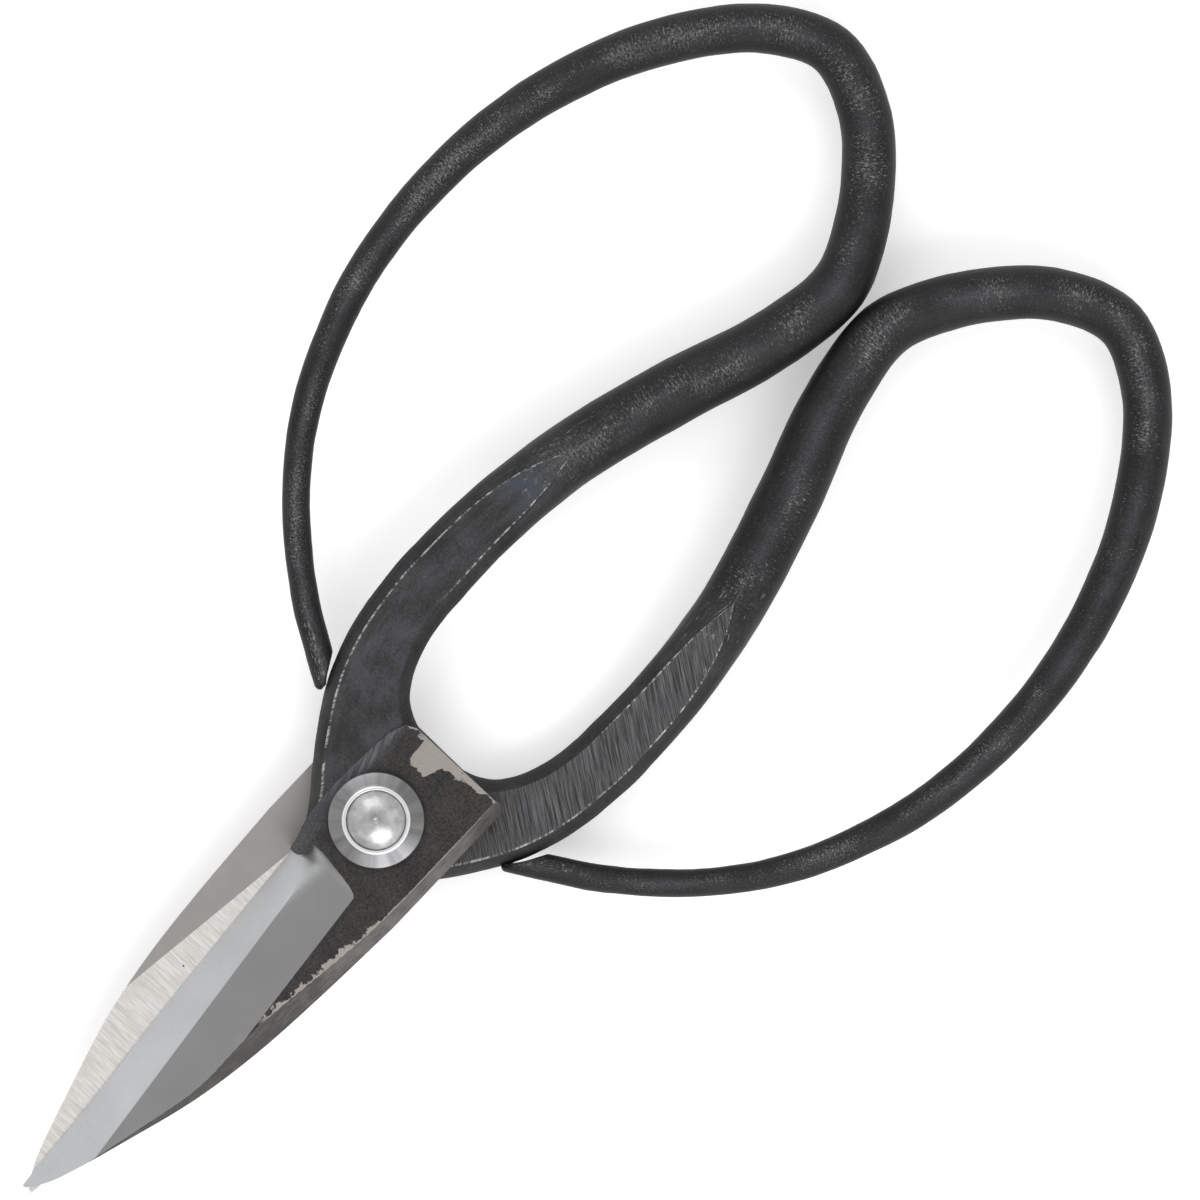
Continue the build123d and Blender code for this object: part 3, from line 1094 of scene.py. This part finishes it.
@dataclass(frozen=True)
class Blade:
    """The pivot plate and blade, cut from one flat piece."""

    thick: float = 4.6
    bore_r: float = 2.8
    spine: tuple[Point, ...] = (
        (-10.97, 8.6), (-10.3, 21.3), (-9.4, 31.9), (-7.8, 41.5), (-5.25, 50.7), (-2.0, 61.0),
        (0.2, 64.95),
    )
    tip: Point = (0.75, 65.1)
    edge: tuple[Point, ...] = ((1.05, 62.0), (1.7, 51.5), (3.2, 36.5), (4.4, 21.3), (5.15, 11.0))
    right_side: tuple[Point, ...] = (
        (5.5, 10.1), (5.9, 8.4), (6.6, 6.0), (7.0, 2.0), (6.9, -4.0), (6.5, -9.0),
    )
    bottom: tuple[Point, ...] = ((5.7, -11.3), (4.3, -12.0), (-10.2, -12.15), (-10.97, -11.5))
    heel_y: float = 7.7
    nub: Point = (3.7, 10.2)
    tip_y: float = 66.0
    top_heights: Point = (4.6, 2.7)
    ridges: tuple[Point, Point] = ((2.05, 3.75), (-4.75, 1.95))
    edges: tuple[Point, Point] = ((5.35, 0.2), (0.6, 0.2))
    facet_slope: float = 0.13
    taper_after: float = 0.3
    relief: Point = (0.02, 0.3)
    relief_right: Point = (4.0, -1.0)
    relief_left: float = -11.5
    relief_from: float = 11.0
    spine_bevel: tuple[tuple[float, ...], ...] = (
        (-14.0, 2.2, 1.57, 4.6), (8.6, 2.2, 1.57, 4.6), (29.0, 1.8, 2.5, 3.9), (41.0, 2.2, 1.15, 3.5),
        (50.0, 2.3, 0.75, 2.9), (66.0, 1.7, 0.45, 2.3),
    )
    far: float = 30.0
    above: float = 9.0
    below: float = -1.0
    near_steps: int = 12
    cut_steps: int = 30
    plunge: Point = (1.5, 3.2)
    ridge_soft: tuple[float, float, float] = (2.9, 0.06, 6.0)
    plunge_spread: float = 0.42
    nub_r: float = 1.1
    nub_keep: tuple[float, float, float] = (20, -2, 40)
    step_low: Point = (6.7, -0.36)
    step_high: Point = (4.6, 0.001)
    step_lean: float = -0.06
    edge_rounding: float = 0.12

    def outline(self) -> list[Vector]:
        """The plan outline, starting at the foot of the spine.

        Returns:
            Its points.
        """
        spine = smooth_line(self.spine, 8)
        edge = smooth_line(self.edge, 6)
        right = smooth_line(self.right_side, 3)
        return [Vector(p) for p in (*spine, self.tip, *edge, *right, *self.bottom)]

    def _ruled(
        self, name: str, start: Sequence[Point], end: Sequence[Point], from_y: float
    ) -> bpy.types.Object:
        """A block whose section changes evenly from one station to another.

        Args:
            name: The object's name.
            start: Its first section, across and up.
            end: Its section at the tip.
            from_y: The first section's station.

        Returns:
            The block.
        """
        sections = []
        for step in range(self.cut_steps + 1):
            part = step / self.cut_steps
            y = from_y + (self.tip_y - from_y) * part
            points = [Vector(a).lerp(Vector(b), part) for a, b in zip(start, end)]
            sections.append([Vector((p.x, y, p.y)) for p in points])
        return Bench.loft(name, sections)

    def _facet_section(self, y: float) -> list[Vector]:
        """The grinding wheel's section at a station: edge, rounded ridge and upper facet.

        Near the heel each point is raised on a quarter circle, which makes the rounded plunge.

        Args:
            y: The station.

        Returns:
            The section's points, in place.
        """
        part = (y - self.heel_y) / (self.tip_y - self.heel_y)
        edge = Vector(self.edges[0]).lerp(Vector(self.edges[1]), part)
        ridge = Vector(self.ridges[0]).lerp(Vector(self.ridges[1]), part)
        side = Vector((-self.far, ridge.y + self.facet_slope * (self.far + ridge.x)))
        hardened = min(1.0, part * self.ridge_soft[2])
        soft = self.ridge_soft[0] + (self.ridge_soft[1] - self.ridge_soft[0]) * hardened
        down = ridge + (edge - ridge).normalized() * soft
        up = ridge + (side - ridge).normalized() * soft
        curve = [down.lerp(ridge, t).lerp(ridge.lerp(up, t), t) for t in (0, 0.2, 0.4, 0.6, 0.8, 1)]
        outer = edge + (edge - ridge) * 4
        profile = [outer, edge, *curve, side]
        raised = []
        for point in profile:
            radius = max(self.plunge[0], min(self.plunge[1], self.plunge_spread * (point.x + 1)))
            short = max(0.0, 1 - (y - self.heel_y) / radius)
            raised.append(Vector((point.x, y, point.y + radius * (1 - math.sqrt(1 - short * short)))))
        return [*raised, Vector((-self.far, y, self.far)), Vector((outer.x, y, self.far))]

    def _facet_block(self) -> bpy.types.Object:
        """What the grinding wheel takes away: everything over the two facets, with a rounded plunge.

        Returns:
            The block.
        """
        count = self.near_steps
        near = [self.heel_y + self.plunge[1] * (step / count) ** 2 for step in range(count + 1)]
        spacing = (self.tip_y - near[-1]) / self.cut_steps
        rest = [near[-1] + spacing * (step + 1) for step in range(self.cut_steps)]
        block = Bench.loft("grinding", [self._facet_section(y) for y in (*near, *rest)])
        x, y = self.nub
        r = self.nub_r
        angles = (0, 0.4, 0.8, 1.2, math.pi / 2)
        corner = [(x + r - r * math.sin(angle), y - r + r * math.cos(angle)) for angle in angles]
        right, *levels = self.nub_keep
        plan = [(x, 0), (right, 0), (right, y), *corner]
        keep = Bench.loft("nub", [[Vector((*point, z)) for point in plan] for z in levels])
        Bench.combine(block, keep, "DIFFERENCE")
        return block

    def _step_block(self) -> bpy.types.Object:
        """What the slope down to the shank's face takes away.

        Returns:
            The block.
        """
        low = (self.step_low[0], self.thick + self.step_low[1])
        high = (self.step_high[0], self.thick + self.step_high[1])
        profile = [low, (self.far, low[1]), (self.far, self.far), (high[0], self.far), high]
        lean, ends = self.step_lean, (-self.far, self.far)
        return Bench.loft("step", [[Vector((x + lean * y, y, z)) for x, z in profile] for y in ends])

    def _top_block(self) -> bpy.types.Object:
        """What the taper of the outer face takes away.

        Returns:
            The block.
        """
        start, end = (
            [(-self.far, height), (self.far, height), (self.far, self.above), (-self.far, self.above)]
            for height in self.top_heights
        )
        return self._ruled("taper", start, end, self.heel_y + self.taper_after)

    def _spine_block(self) -> bpy.types.Object:
        """What the bevel along the spine takes away.

        Returns:
            The block.
        """
        sections = []
        outline = [(point.y, *point) for point in smooth_line(self.spine, 8)]
        table = smooth_line(self.spine_bevel, 8)
        start, end = self.spine_bevel[0][0], self.spine_bevel[-1][0]
        for index in range(self.cut_steps * 2 + 1):
            y = start + (end - start) * index / (self.cut_steps * 2)
            low_z, width, high_z = between(table, y)
            x = between(outline, y).x
            low, high = Vector((x, y, low_z)), Vector((x + width, y, high_z))
            outside = Vector((-self.far, y, self.far))
            sections.append([low - (high - low), high + (high - low) * 2, outside])
        return Bench.loft("spine_wheel", sections)

    def _relief_block(self) -> bpy.types.Object:
        """What the relief of the shear face takes away.

        Returns:
            The block.
        """
        left = self.relief_left
        start, end = (
            [(right, 0.0), (left, depth), (left, self.below), (right, self.below)]
            for right, depth in zip(self.relief_right, self.relief)
        )
        return self._ruled("relief", start, end, self.relief_from)

    def region(self, middle: Vector, normal: Vector) -> Region:
        """Say which finish a face has.

        Args:
            middle: The middle of the face.
            normal: Its outward direction.

        Returns:
            The region that the face belongs to.
        """
        if normal.z < -0.8:
            return Region.SHEAR_FACE
        part = (middle.y - self.heel_y) / (self.tip_y - self.heel_y)
        top_z = self.top_heights[0] + (self.top_heights[1] - self.top_heights[0]) * part
        on_cut = middle.y > self.heel_y - 0.1 and middle.z < top_z - 0.03
        facet = on_cut and normal.z > 0.2 and normal.x > -0.28
        plunge = on_cut and middle.x > -4.8 and normal.y > 0.6
        edge_wall = middle.y > self.edge[-1][1] and normal.x > 0.6
        if facet or plunge or edge_wall:
            return Region.GROUND
        if normal.x < -0.25:
            return Region.SPINE
        return Region.SCALE

    def build(self, finishes: Sequence[bpy.types.Material]) -> bpy.types.Object:
        """Cut the plate and blade and give its faces the finish of their region.

        Args:
            finishes: One material for each region, in order.

        Returns:
            The plate and blade.
        """
        outline = self.outline()
        heights = (0.0, self.thick)
        plate = Bench.loft("plate", [[p.to_3d() + Vector((0, 0, z)) for p in outline] for z in heights])
        cutters = (
            self._top_block(),
            self._step_block(),
            self._facet_block(),
            self._spine_block(),
            self._relief_block(),
        )
        for cutter in cutters:
            Bench.combine(plate, cutter, "DIFFERENCE")
        bpy.ops.object.select_all(action="DESELECT")
        bpy.ops.mesh.primitive_cylinder_add(vertices=64, radius=self.bore_r, depth=20)
        Bench.combine(plate, bpy.context.object, "DIFFERENCE")
        Bench.clean(plate)
        for finish in finishes:
            plate.data.materials.append(finish)
        for face in plate.data.polygons:
            face.material_index = self.region(face.center, face.normal).value
        self._wear_edges(plate)
        return plate

    def _wear_edges(self, plate: bpy.types.Object) -> None:
        """Round the hard edges of the scale a little and give the rounding the worn finish.

        Args:
            plate: The plate and blade, with its finishes on.
        """
        ground = {Region.GROUND.value, Region.SHEAR_FACE.value}

        def rubbed(edge: bmesh.types.BMEdge) -> bool:
            """Whether an edge is hard and has scale or grinding on one side.

            Args:
                edge: An edge of the plate.

            Returns:
                True if it is.
            """
            kinds = {face.material_index for face in edge.link_faces}
            on_bore = all(v.co.to_2d().length < self.bore_r + 0.1 for v in edge.verts)
            return edge.calc_face_angle(0) > 0.35 and not kinds <= ground and not on_bore

        Bench.only(plate)
        bpy.ops.object.mode_set(mode="EDIT")
        Bench.select_edges(plate, rubbed)
        bpy.ops.mesh.bevel(
            offset=self.edge_rounding,
            offset_type="OFFSET",
            segments=2,
            profile=0.5,
            material=Region.WORN.value,
            clamp_overlap=True,
        )
        bpy.ops.object.mode_set(mode="OBJECT")


@dataclass
class Forging:
    """One half of the shears: blade, plate, shank and handle."""

    name: str
    node: str
    body: Body
    side: Side
    middle_z: float
    play: float = 0.02
    end_reach: float = 1.0
    girth: float = 22.0
    crest_u: Point = (0.226, 0.726)
    smooth_degrees: float = 14.0
    blade: Blade = field(default_factory=Blade)

    @property
    def bar(self) -> Bar:
        """The shank and handle."""
        return Bar(end_reach=self.end_reach)

    def _turn(self) -> Matrix:
        """From the forging's own frame to its place in the shears, in metres.

        Returns:
            The matrix.
        """
        turn = Matrix.Rotation(0 if self.side is Side.UP else math.pi, 4, "Y")
        lift = self.side.value * self.play * MM
        return Matrix.Translation((0, 0, self.middle_z + lift)) @ turn

    def _finishes(self) -> list[bpy.types.Material]:
        """One material for each region, in the order of the slots.

        Returns:
            The materials.
        """
        return [
            ForgeScale(self.side, self.middle_z / MM).make(),
            ShearFace(self.side).make(),
            GroundSteel(self.side, self.blade.heel_y, self.blade.tip_y, self.blade.ridges).make(),
            SpineGrind(self.side).make(),
            WornEdge(self.side).make(),
            HandleScale(
                self.side,
                self.bar.travelled()[-1],
                girth=self.girth,
                flat_edges=self.bar.flat_edges(),
                crest_u=self.crest_u,
                flat_end=self.bar.flat_part(),
            ).make(),
        ]

    def build(self) -> bpy.types.Object:
        """Model the forging, dress it and put it on its body.

        Returns:
            The forging.
        """
        finishes = self._finishes()
        piece = self.blade.build(finishes)
        bar = self.bar.build()
        for finish in finishes:
            bar.data.materials.append(finish)
        bar.data.polygons.foreach_set("material_index", [Region.HANDLE.value] * len(bar.data.polygons))
        Bench.combine(piece, bar, "UNION")
        Bench.clean(piece, 5e-4)
        piece.name = piece.data.name = self.name
        Bench.finish(piece, self._turn(), self.smooth_degrees)
        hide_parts(self.node)
        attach(piece, self.body.value)
        return piece


# ---- Rivet and washers ----


@dataclass
class Pivot:
    """The rivet and its two washers."""

    edge_r: float = 6.15
    rim: float = 0.7
    shoulder: Point = (4.55, 1.2)
    lip: Point = (4.2, 1.45)
    seat: Point = (3.8, 0.95)
    bore_r: float = 2.8
    lip_chamfer: float = 0.12
    rounding: float = 0.19
    head_rim: float = 0.35
    head_side: float = 0.1
    head_tuck: float = 0.08
    head_overhang: float = 0.95
    dimple: tuple[Point, ...] = ((0.0, -0.13), (0.16, -0.12), (0.34, -0.03), (0.55, -0.03))
    tail_inset: float = 0.02
    tail_chamfer: float = 0.3
    tail: tuple[Point, ...] = ((1.2, 0.0), (0.8, 0.18), (0.0, 0.22))
    smooth_degrees: float = 30.0
    dome_steps: int = 14
    spin_steps: int = 96

    def _turned(self, name: str, profile: Sequence[Point]) -> bpy.types.Object:
        """Spin a profile about the pivot axis.

        Args:
            name: The object's name.
            profile: Radius and height of its points, which need not be closed.

        Returns:
            The solid of revolution, in millimetres.
        """
        bpy.ops.object.select_all(action="DESELECT")
        bpy.ops.mesh.primitive_plane_add(size=1)
        piece = bpy.context.object
        piece.name = piece.data.name = name
        bpy.ops.object.mode_set(mode="EDIT")
        bpy.ops.mesh.select_mode(type="VERT")
        bpy.ops.mesh.select_all(action="SELECT")
        bpy.ops.mesh.merge(type="CENTER")
        place = Vector((0, 0, 0))
        for radius, height in profile:
            step = Vector((radius, 0, height)) - place
            if place.length == 0 and (radius, height) == profile[0]:
                bpy.ops.transform.translate(value=step)
            else:
                bpy.ops.mesh.extrude_vertices_move(TRANSFORM_OT_translate={"value": step})
            place = place + step
        bpy.ops.mesh.select_all(action="SELECT")
        bpy.ops.mesh.spin(steps=self.spin_steps, angle=2 * math.pi, center=(0, 0, 0), axis=(0, 0, 1))
        bpy.ops.mesh.select_all(action="SELECT")
        bpy.ops.mesh.remove_doubles(threshold=1e-4)
        bpy.ops.mesh.normals_make_consistent(inside=False)
        bpy.ops.object.mode_set(mode="OBJECT")
        return piece

    @staticmethod
    def _rounded(points: Sequence[Point], radius: float, steps: int = 3) -> list[Point]:
        """Round the corners of a profile.

        Args:
            points: The profile's corners, its ends included.
            radius: How far back from a corner the rounding starts.
            steps: Points on each rounding.

        Returns:
            The profile with each inner corner rounded.
        """
        most = 0.45
        rounded = [points[0]]
        for before, corner, after in zip(points, points[1:], points[2:]):
            corner_v = Vector(corner)
            into, out = corner_v - Vector(before), Vector(after) - corner_v
            reach = min(radius, into.length * most, out.length * most)
            start, end = corner_v - into.normalized() * reach, corner_v + out.normalized() * reach
            for step in range(steps + 1):
                t = step / steps
                rounded.append(tuple(start.lerp(corner_v, t).lerp(corner_v.lerp(end, t), t)))
        return [*rounded, points[-1]]

    def _washer(self, name: str, node: str, facing: Side) -> bpy.types.Object:
        """Turn one washer.

        Args:
            name: The piece's name.
            node: The CAD node that it stands for.
            facing: Which way its coned side looks.

        Returns:
            The washer.
        """
        low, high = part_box(node)
        face_z = low.z if facing is Side.UP else high.z
        corners = [
            (self.bore_r, 0.0),
            (self.edge_r, 0.0),
            (self.edge_r, self.rim),
            self.shoulder,
            (self.lip[0] + self.lip_chamfer, self.lip[1] - self.lip_chamfer),
            self.lip,
            (self.seat[0], self.lip[1]),
            self.seat,
            (self.bore_r, self.seat[1]),
        ]
        profile = self._rounded(corners, self.rounding)
        profile.append(profile[0])
        piece = self._turned(name, profile)
        turn = Matrix.Rotation(0 if facing is Side.UP else math.pi, 4, "X")
        Bench.finish(piece, Matrix.Translation((0, 0, face_z)) @ turn, self.smooth_degrees)
        piece.data.materials.append(TurnedSteel(f"turned_steel_{facing.name.lower()}").make())
        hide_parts(node)
        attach(piece, Body.LOWER.value)
        return piece

    def _rivet(self) -> bpy.types.Object:
        """Turn the rivet: a domed head with a centre dimple, a plain shank and a flat tail.

        Returns:
            The rivet.
        """
        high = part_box("rivet")[1]
        upper_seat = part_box("front_washer")[0].z / MM + self.seat[1]
        lower_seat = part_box("rear_washer")[1].z / MM - self.seat[1]
        top = high.z / MM
        radius = high.x / MM
        rim = upper_seat + self.head_rim
        shank = radius - self.head_overhang
        tail_r = radius - self.tail_inset
        dome = [(r, top + height) for r, height in self.dimple]
        sphere = (radius**2 + (top - rim) ** 2) / (2 * (top - rim))
        for step in range(2, self.dome_steps + 1):
            r = radius * step / self.dome_steps
            dome.append((r, top - sphere + math.sqrt(sphere**2 - r**2)))
        body = [
            (radius, rim - self.head_side),
            (radius - self.head_tuck, upper_seat),
            (shank, upper_seat),
            (shank, lower_seat),
            (tail_r, lower_seat),
            (tail_r, self.tail_chamfer),
            (radius - self.tail_chamfer, 0.0),
            *self.tail,
        ]
        piece = self._turned("rivet_headed", [*dome, *body])
        Bench.finish(piece, Matrix.Identity(4), self.smooth_degrees)
        piece.data.materials.append(PolishedSteel().make())
        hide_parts("rivet")
        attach(piece, Body.LOWER.value)
        return piece

    def build(self) -> list[bpy.types.Object]:
        """Make the rivet and both washers.

        Returns:
            The three pieces.
        """
        return [
            self._washer("washer_upper", "front_washer", Side.UP),
            self._washer("washer_lower", "rear_washer", Side.DOWN),
            self._rivet(),
        ]


# ---- Studio ----


@dataclass
class Studio:
    """Floor, lights and camera. The sky's rows are places from the ground to the zenith and their light."""

    view_width: float = 0.15317
    view_centre: Point = (-0.00138, -0.03987)
    roll_degrees: float = 223.45
    camera_height: float = 1.1
    floor_z: float = -0.00005
    sensor: float = 36.0
    floor_size: float = 6.0
    floor_colour: tuple[float, ...] = (0.92, 0.92, 0.92, 1.0)
    floor_glow: tuple[float, ...] = (1.0, 1.0, 1.0, 1.0)
    sky: tuple[Point, ...] = ((0.0, 0.7), (0.7, 1.0), (0.93, 0.75), (1.0, 0.42))
    sky_strength: float = 1.0
    soft_boxes: tuple[tuple, ...] = (
        ("key", (-0.9, 0.5, 0.95), (1.1, 0.9), 3.0),
        ("fill", (0.9, -0.5, 0.8), (0.9, 0.7), 1.6),
    )

    def build(self, middle_z: float) -> None:
        """Set up the floor, the light and a camera straight above.

        Args:
            middle_z: The height of the plane between the forgings.
        """
        self._floor()
        self._world()
        for soft_box in self.soft_boxes:
            self._soft_box(*soft_box)
        data = bpy.data.cameras.new("camera")
        data.sensor_width = self.sensor
        data.lens = self.sensor * (self.camera_height - middle_z) / self.view_width
        camera = bpy.data.objects.new("camera", data)
        camera.location = (*self.view_centre, self.camera_height)
        camera.rotation_euler = (0, 0, math.radians(self.roll_degrees))
        bpy.context.scene.collection.objects.link(camera)
        bpy.context.scene.camera = camera

    def _floor(self) -> None:
        """A plain pale floor just under the shears."""
        bpy.ops.object.select_all(action="DESELECT")
        bpy.ops.mesh.primitive_plane_add(size=self.floor_size, location=(0, 0, self.floor_z))
        floor = bpy.context.object
        floor.name = "floor"
        bpy.ops.object.transform_apply(location=True)
        shader = Shader("floor_paint", Roughness=0.8, Specular_IOR_Level=0.2, Emission_Strength=0.3)
        shader.surface.inputs["Base Color"].default_value = self.floor_colour
        shader.surface.inputs["Emission Color"].default_value = self.floor_glow
        floor.data.materials.append(shader.material)

    def _world(self) -> None:
        """Light from all round, dimmer straight above."""
        world = bpy.data.worlds.new("studio")
        bpy.context.scene.world = world
        world.use_nodes = True
        tree = world.node_tree
        heading = tree.nodes.new("ShaderNodeTexCoord").outputs["Generated"]
        height = tree.nodes.new("ShaderNodeSeparateXYZ")
        ramp = tree.nodes.new("ShaderNodeValToRGB")
        tree.links.new(heading, height.inputs[0])
        tree.links.new(height.outputs["Z"], ramp.inputs[0])
        stops = ramp.color_ramp.elements
        for stop, (place, light) in zip(stops, (self.sky[0], self.sky[-1])):
            stop.position = place
            stop.color = (light, light, light, 1)
        for place, light in self.sky[1:-1]:
            stops.new(place).color = (light, light, light, 1)
        background = tree.nodes["Background"]
        tree.links.new(ramp.outputs[0], background.inputs["Color"])
        background.inputs["Strength"].default_value = self.sky_strength
        bpy.context.scene.view_settings.view_transform = "Standard"

    @staticmethod
    def _soft_box(name: str, place: Sequence[float], size: Point, radiance: float) -> None:
        """Hang a soft light that looks at the shears.

        Args:
            name: The light's name.
            place: Where it hangs.
            size: Its two sides.
            radiance: How bright its face is.
        """
        data = bpy.data.lights.new(name, "AREA")
        data.shape = "RECTANGLE"
        data.size, data.size_y = size
        data.energy = radiance * math.pi * data.size * data.size_y
        light = bpy.data.objects.new(name, data)
        light.location = place
        light.rotation_euler = Vector(place).to_track_quat("Z", "Y").to_euler()
        bpy.context.scene.collection.objects.link(light)


def main() -> None:
    """Load the frame, build every piece around it and set up the studio."""
    logging.basicConfig(level=logging.INFO, format="%(name)s: %(message)s")
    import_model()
    middle_z = (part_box("front_half")[1].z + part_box("rear_half")[0].z) / 2
    pieces = [
        Forging("forging_upper", "front_half", Body.UPPER, Side.UP, middle_z, end_reach=0.4).build(),
        Forging("forging_lower", "rear_half", Body.LOWER, Side.DOWN, middle_z, end_reach=1.6).build(),
        *Pivot().build(),
    ]
    Studio().build(middle_z)


if __name__ == "__main__":
    main()
